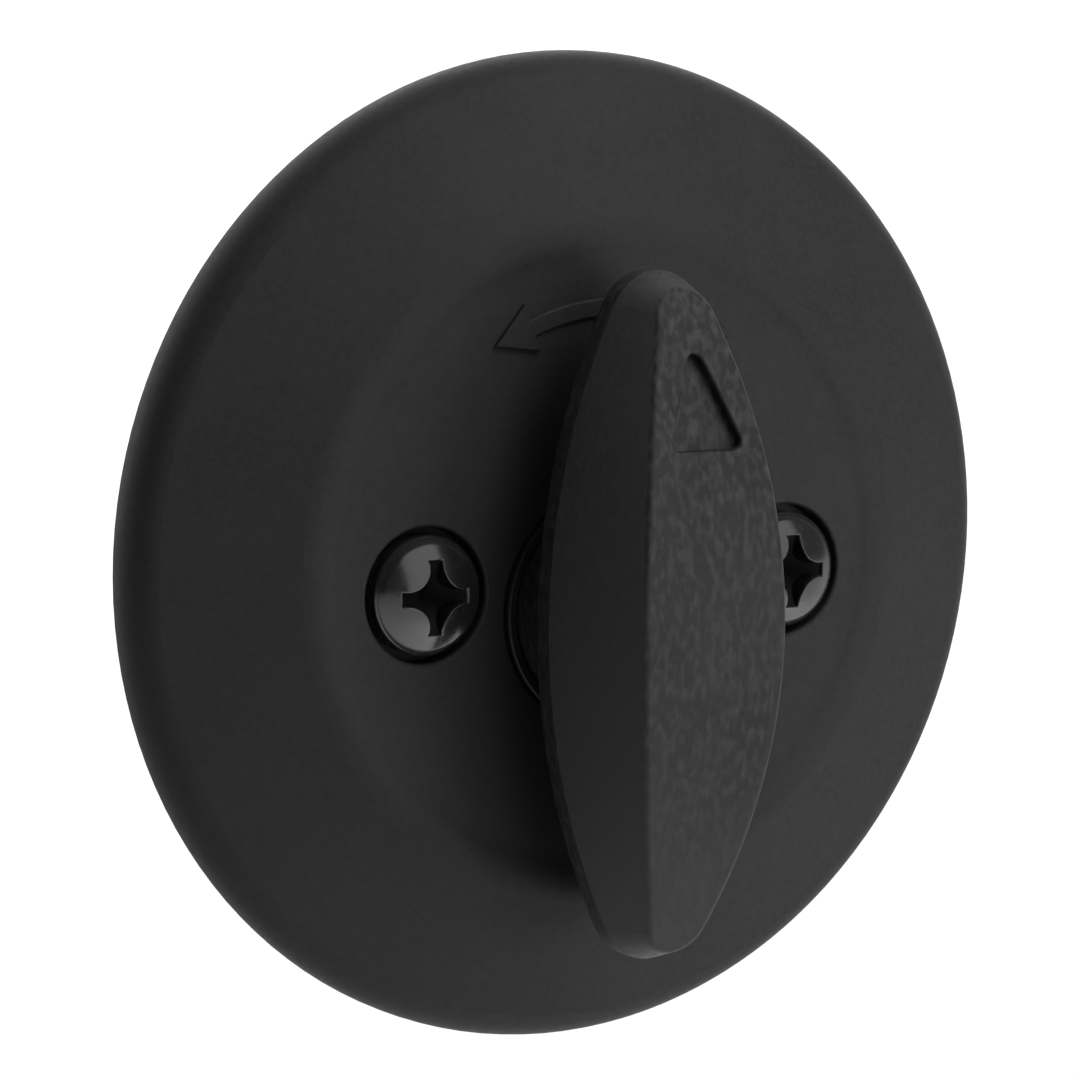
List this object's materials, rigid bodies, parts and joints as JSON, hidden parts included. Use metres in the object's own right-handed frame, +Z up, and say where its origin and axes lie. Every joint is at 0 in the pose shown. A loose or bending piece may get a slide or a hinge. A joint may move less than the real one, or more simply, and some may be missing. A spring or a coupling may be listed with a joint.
{
  "type": "deadbolt thumbturn assembly",
  "caption": "Interior thumbturn assembly of a deadbolt lock: a round domed rose with a leaf-shaped lever that turns a torque blade, and machine screws that clamp it to the door.",
  "frame": {"origin": "centre of the rose on the door's face", "axes": "+Z up, -Y out of the door towards the room, +Y into the door's bore, +X to the right as seen from the room"},
  "size_m": [0.0636, 0.0604, 0.0636],
  "materials": {
    "rose_coat": "matte black coat on die-cast zinc",
    "turn_coat": "matte black coat on die-cast zinc",
    "bushing_black": "moulded black acetal",
    "screw_black": "glossy black plated steel",
    "zinc_plate": "zinc-plated steel sheet",
    "zinc_screw": "zinc-plated steel",
    "acetal_white": "moulded white acetal",
    "cam_metal": "sintered brass",
    "spring_steel": "hardened spring steel",
    "spring_black": "phosphated spring steel",
    "rivet_steel": "headed steel rivet",
    "pin_steel": "ground steel",
    "washer_steel": "zinc-plated steel",
    "blade_steel": "cold-rolled steel strip, zinc plated",
    "nylon_natural": "natural nylon"
  },
  "bodies": {
    "rose_assembly": {"rose_cover": "rose_coat", "support_plate": "zinc_plate", "plate_screws": "zinc_screw", "hub_bushing": "bushing_black", "thrust_washer": "acetal_white", "detent_spring_upper": "spring_steel", "detent_spring_lower": "spring_steel", "spring_rivets": "rivet_steel", "stop_pins": "pin_steel", "mounting_screw_left": "screw_black", "mounting_screw_right": "screw_black", "screw_retainer_left": "nylon_natural", "screw_retainer_right": "nylon_natural"},
    "thumbturn": {"thumbturn": "turn_coat", "detent_cam": "cam_metal", "spring_washer": "spring_steel", "clip_washer": "washer_steel", "retaining_ring": "spring_black", "blade_pin": "pin_steel"},
    "torque_blade": {"torque_blade": "blade_steel"}
  },
  "joints": [
    {"name": "thumbturn_turn", "type": "hinge", "parent": "rose_assembly", "child": "thumbturn", "pos_m": [0, 0, -0.00315], "axis": [0, -1, 0], "range_deg": [-90, 90], "deforming": ["detent_spring_upper", "detent_spring_lower"]},
    {"name": "blade_swing", "type": "hinge", "parent": "thumbturn", "child": "torque_blade", "pos_m": [0, 0.0092, -0.00315], "axis": [0, 0, 1], "range_deg": [-4, 4]}
  ]
}
